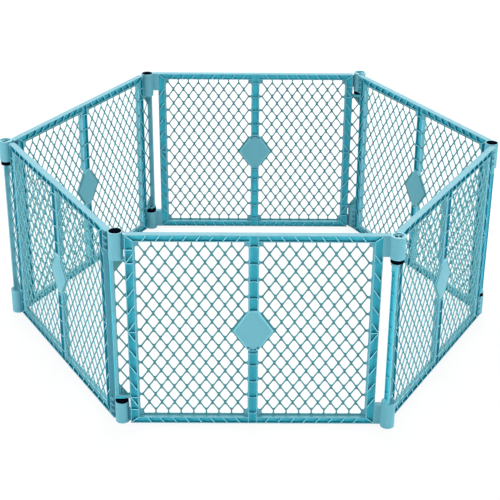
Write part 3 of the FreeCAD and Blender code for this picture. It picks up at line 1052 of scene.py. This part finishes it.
@dataclass(frozen=True)
class MouldedSkin:
    """What moulded plastic has in common: faint clouds in its colour, a fine satin texture and slow waves
    from cooling. Sizes are in waves for each metre."""

    cloud_size: float = 9.0
    cloud_detail: float = 3.0
    grain_detail: float = 2.0
    wave_size: float = 45.0
    wave_detail: float = 1.0
    dulling: float = 0.06
    grain_share: float = 0.35

    def group(self) -> bpy.types.NodeTree:
        """Builds the node group.

        Returns:
            A group with inputs Colour, Clouds, Grain Size and Roughness, and outputs Colour, Roughness and
            Height.
        """
        tree = bpy.data.node_groups.new("moulded_skin", "ShaderNodeTree")
        ways = {"INPUT": ("Colour", "Clouds", "Grain Size", "Roughness"),
                "OUTPUT": ("Colour", "Roughness", "Height")}
        for way, names in ways.items():
            for name in names:
                kind = "NodeSocketColor" if name == "Colour" else "NodeSocketFloat"
                tree.interface.new_socket(name, in_out=way, socket_type=kind)
        entry = tree.nodes.new("NodeGroupInput").outputs
        place = add_node(tree, "TexCoord").outputs["Object"]
        textures = ((self.cloud_size, self.cloud_detail), (entry["Grain Size"], self.grain_detail),
                    (self.wave_size, self.wave_detail))
        cloud, grain, wave = (add_node(tree, "TexNoise", {"Vector": place, "Scale": size, "Detail": detail})
                              for size, detail in textures)
        drop = add_node(tree, "Math", {0: 1.0, 1: entry["Clouds"]}, operation="SUBTRACT")
        shade = add_node(tree, "MapRange", {"Value": cloud, "To Min": 1.0, "To Max": drop})
        tint = add_node(tree, "Mix", {"Factor": 1.0, "A": entry["Colour"], "B": shade},
                        data_type="RGBA", blend_type="MULTIPLY")
        dull = add_node(tree, "MapRange", {"Value": wave, "To Min": -self.dulling, "To Max": self.dulling})
        rough = add_node(tree, "Math", {0: entry["Roughness"], 1: dull}, operation="ADD", use_clamp=True)
        relief = add_node(tree, "Math", {0: grain, 1: self.grain_share, 2: wave}, operation="MULTIPLY_ADD")
        leave = tree.nodes.new("NodeGroupOutput").inputs
        tree.links.new(tint.outputs["Result"], leave["Colour"])
        tree.links.new(rough.outputs["Value"], leave["Roughness"])
        tree.links.new(relief.outputs["Value"], leave["Height"])
        return tree


@dataclass(frozen=True)
class PlasticFinish:
    """Satin moulded plastic. Its colour is given in display steps, the height of its texture in
    millimetres."""

    name: str
    colour: tuple[int, int, int]
    roughness: float = 0.5
    clouds: float = 0.05
    grain: float = 1100.0
    relief: float = 0.05
    gloss: float = 0.2
    refraction: float = 1.49

    def material(self, skin: bpy.types.NodeTree) -> bpy.types.Material:
        """Builds the material.

        Args:
            skin: the node group for moulded plastic.

        Returns:
            A Principled material whose colour, roughness and bump come from the group.
        """
        material = bpy.data.materials.new(self.name)
        tree = fresh_tree(material)
        values = {"Colour": linear(*self.colour), "Clouds": self.clouds, "Grain Size": self.grain,
                  "Roughness": self.roughness}
        group = add_node(tree, "Group", values, node_tree=skin).outputs
        height = {"Strength": 1.0, "Distance": self.relief * MM, "Height": group["Height"]}
        bump = add_node(tree, "Bump", height)
        shader = add_node(tree, "BsdfPrincipled", {
            "Base Color": group["Colour"], "Roughness": group["Roughness"], "Normal": bump,
            "IOR": self.refraction, "Specular IOR Level": self.gloss})
        add_node(tree, "OutputMaterial", {"Surface": shader})
        return material


# Only the face finish is the plastic's own colour. The edge and border finishes are painted highlights. The
# channel, wall and ridge finishes are painted shade: deeper and more saturated in the channels, darker on the
# inner walls, darker and greyer on the lattice's bars.
AQUA = {
    Zone.FACE: PlasticFinish("aqua_moulding", (110, 178, 193), 0.4, gloss=0.1),
    Zone.EDGE: PlasticFinish("aqua_edge_highlight", (140, 224, 240), 0.34, clouds=0.03, relief=0.03, gloss=0.3),
    Zone.CHANNEL: PlasticFinish("aqua_channel_shade", (66, 195, 215), 0.45),
    Zone.WALL: PlasticFinish("aqua_wall_shade", (42, 146, 165), gloss=0.1),
    Zone.RIDGE: PlasticFinish("aqua_ridge_shade", (74, 136, 142)),
    Zone.BORDER: PlasticFinish("aqua_border_highlight", (124, 203, 218), 0.4),
}
BLACK = PlasticFinish("black_fitting", (8, 12, 22), 0.7, clouds=0.15, grain=1300.0, relief=0.08, gloss=0.0)


# ---- Studio ----


def seen(tree: bpy.types.NodeTree) -> bpy.types.Node:
    """Adds a value that is 1 for what the camera or a reflection sees and 0 for what gives light."""
    path = add_node(tree, "LightPath").outputs
    rays = {0: path["Is Camera Ray"], 1: path["Is Glossy Ray"]}
    return add_node(tree, "Math", rays, operation="MAXIMUM")


@dataclass(frozen=True)
class SoftLight:
    """Oblong soft light: place, width and height in metres."""

    name: str
    place: tuple[float, float, float]
    size: tuple[float, float]
    watts: float
    aim: tuple[float, float, float] = (0.0, 0.0, 0.3)

    def build(self) -> None:
        """Adds the light, turned to its aim."""
        data = bpy.data.lights.new(self.name, "AREA")
        data.shape = "RECTANGLE"
        data.size, data.size_y = self.size
        data.energy = self.watts
        lamp = add_object(self.name, data)
        lamp.location = self.place
        x, y, z = np.array(self.aim) - np.array(self.place)
        lamp.rotation_euler = (math.atan2(math.hypot(x, y), -z), 0.0, math.atan2(-x, y))


@dataclass
class Studio:
    """Pale floor, soft light and camera."""

    floor_half: float = 9.0
    floor_light: float = 0.80
    floor_seen: float = 0.16
    floor_glow: float = 0.87
    focal_length: float = 94.58
    film_width: float = 36.0
    aim: tuple[float, float, float] = (0.006744, 0.0, 0.243957)
    distance: float = 4.610217
    yaw: float = -0.366
    elevation: float = 26.530
    roll: float = 0.430
    room_front: float = 0.20
    room_back: float = 1.30
    front_until: float = -0.4
    lights: tuple[SoftLight, ...] = (
        SoftLight("side_left", (-3.6, -2.4, 0.6), (2.0, 1.1), 88.0),
        SoftLight("side_right", (3.6, -2.4, 0.6), (2.0, 1.1), 88.0),
        SoftLight("front_soft", (0.0, -4.4, 0.9), (2.4, 1.0), 26.0),
        SoftLight("back_soft", (0.0, 3.8, 3.0), (4.5, 1.6), 175.0),
        SoftLight("top_soft", (0.0, -0.5, 2.6), (1.8, 1.2), 20.0),
    )

    def floor(self) -> None:
        """Makes the floor, white to the camera and in reflections, with the object's shadow kept faint."""
        half = self.floor_half
        mesh = bpy.data.meshes.new("floor")
        corners = [(-half, -half, 0), (half, -half, 0), (half, half, 0), (-half, half, 0)]
        mesh.from_pydata(corners, [], [(0, 1, 2, 3)])
        piece = add_object("floor", mesh)
        material = bpy.data.materials.new("pale_floor")
        tree = fresh_tree(material)
        matte = add_node(tree, "BsdfDiffuse", {"Color": grey(self.floor_light)})
        faint = add_node(tree, "BsdfDiffuse", {"Color": grey(self.floor_seen)})
        glow = add_node(tree, "Emission", {"Color": grey(1.0), "Strength": self.floor_glow})
        lit = add_node(tree, "AddShader", {0: faint, 1: glow})
        choice = add_node(tree, "MixShader", {"Fac": seen(tree), 1: matte, 2: lit})
        add_node(tree, "OutputMaterial", {"Surface": choice})
        mesh.materials.append(material)
        piece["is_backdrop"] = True

    def sky(self) -> None:
        """Sets the white surroundings: full white to the camera and in reflections, softer as light and
        dimmer at the front than at the back."""
        world = bpy.data.worlds.new("white_room")
        bpy.context.scene.world = world
        tree = fresh_tree(world)
        axes = add_node(tree, "SeparateXYZ", {"Vector": add_node(tree, "TexCoord").outputs["Generated"]})
        fall = add_node(tree, "MapRange", {"Value": axes.outputs["Y"], "From Min": self.front_until,
                                           "To Min": self.room_front, "To Max": self.room_back})
        room = add_node(tree, "Background", {"Strength": fall})
        white = add_node(tree, "Background", {"Color": grey(1.0)})
        choice = add_node(tree, "MixShader", {"Fac": seen(tree), 1: room, 2: white})
        add_node(tree, "OutputWorld", {"Surface": choice})

    def camera(self) -> None:
        """Adds the camera: on a sphere about its aim, by yaw and elevation, then rolled."""
        data = bpy.data.cameras.new("camera")
        data.lens = self.focal_length
        data.sensor_width = self.film_width
        camera = add_object("camera", data)
        yaw, rise, roll = (math.radians(v) for v in (self.yaw, self.elevation, self.roll))
        back = np.array([math.sin(yaw) * math.cos(rise), -math.cos(yaw) * math.cos(rise), math.sin(rise)])
        level = np.cross(-back, (0.0, 0.0, 1.0))
        level /= np.linalg.norm(level)
        upright = np.cross(level, -back)
        right = level * math.cos(roll) + upright * math.sin(roll)
        upward = upright * math.cos(roll) - level * math.sin(roll)
        place = np.array(self.aim) + back * self.distance
        pose = np.eye(4)
        pose[:3, 0], pose[:3, 1], pose[:3, 2], pose[:3, 3] = right, upward, back, place
        camera.matrix_world = pose.T
        bpy.context.scene.camera = camera

    def build(self) -> None:
        """Sets up the whole studio."""
        self.floor()
        self.sky()
        for light in self.lights:
            light.build()
        self.camera()
        bpy.context.scene.view_settings.view_transform = "Standard"


# ---- Assembly ----


@dataclass
class PlayYard:
    """The six panels with their hinge fittings."""

    sizes: PanelSizes
    height: float
    finishes: dict[Zone, bpy.types.Material]
    black: bpy.types.Material

    def dress_fittings(self) -> None:
        """Gives the hinge pins and pivot bushes their finish."""
        for name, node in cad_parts.items():
            if name.startswith(("hinge_pin", "pivot_bush")):
                node.data.materials.clear()
                node.data.materials.append(self.black)

    def build(self) -> None:
        """Builds the panels in order round the ring."""
        for side in Side:
            place = PanelPlace.between_pins(side, self.sizes, self.height)
            for kind in (FrameMoulding, ChannelRibs, Lattice):
                piece = kind(self.sizes, place, self.finishes).build()
                LOG.info("%s: %d faces", piece.name, len(piece.data.polygons))
        self.dress_fittings()


def main() -> None:
    """Builds the yard and the studio."""
    logging.basicConfig(level=logging.INFO, format="%(message)s")
    cad_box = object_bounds()
    skin = MouldedSkin().group()
    finishes = {zone: finish.material(skin) for zone, finish in AQUA.items()}
    black = BLACK.material(skin)
    PlayYard(PanelSizes(), float(cad_box[1][2]), finishes, black).build()
    Studio().build()


if __name__ == "__main__":
    main()
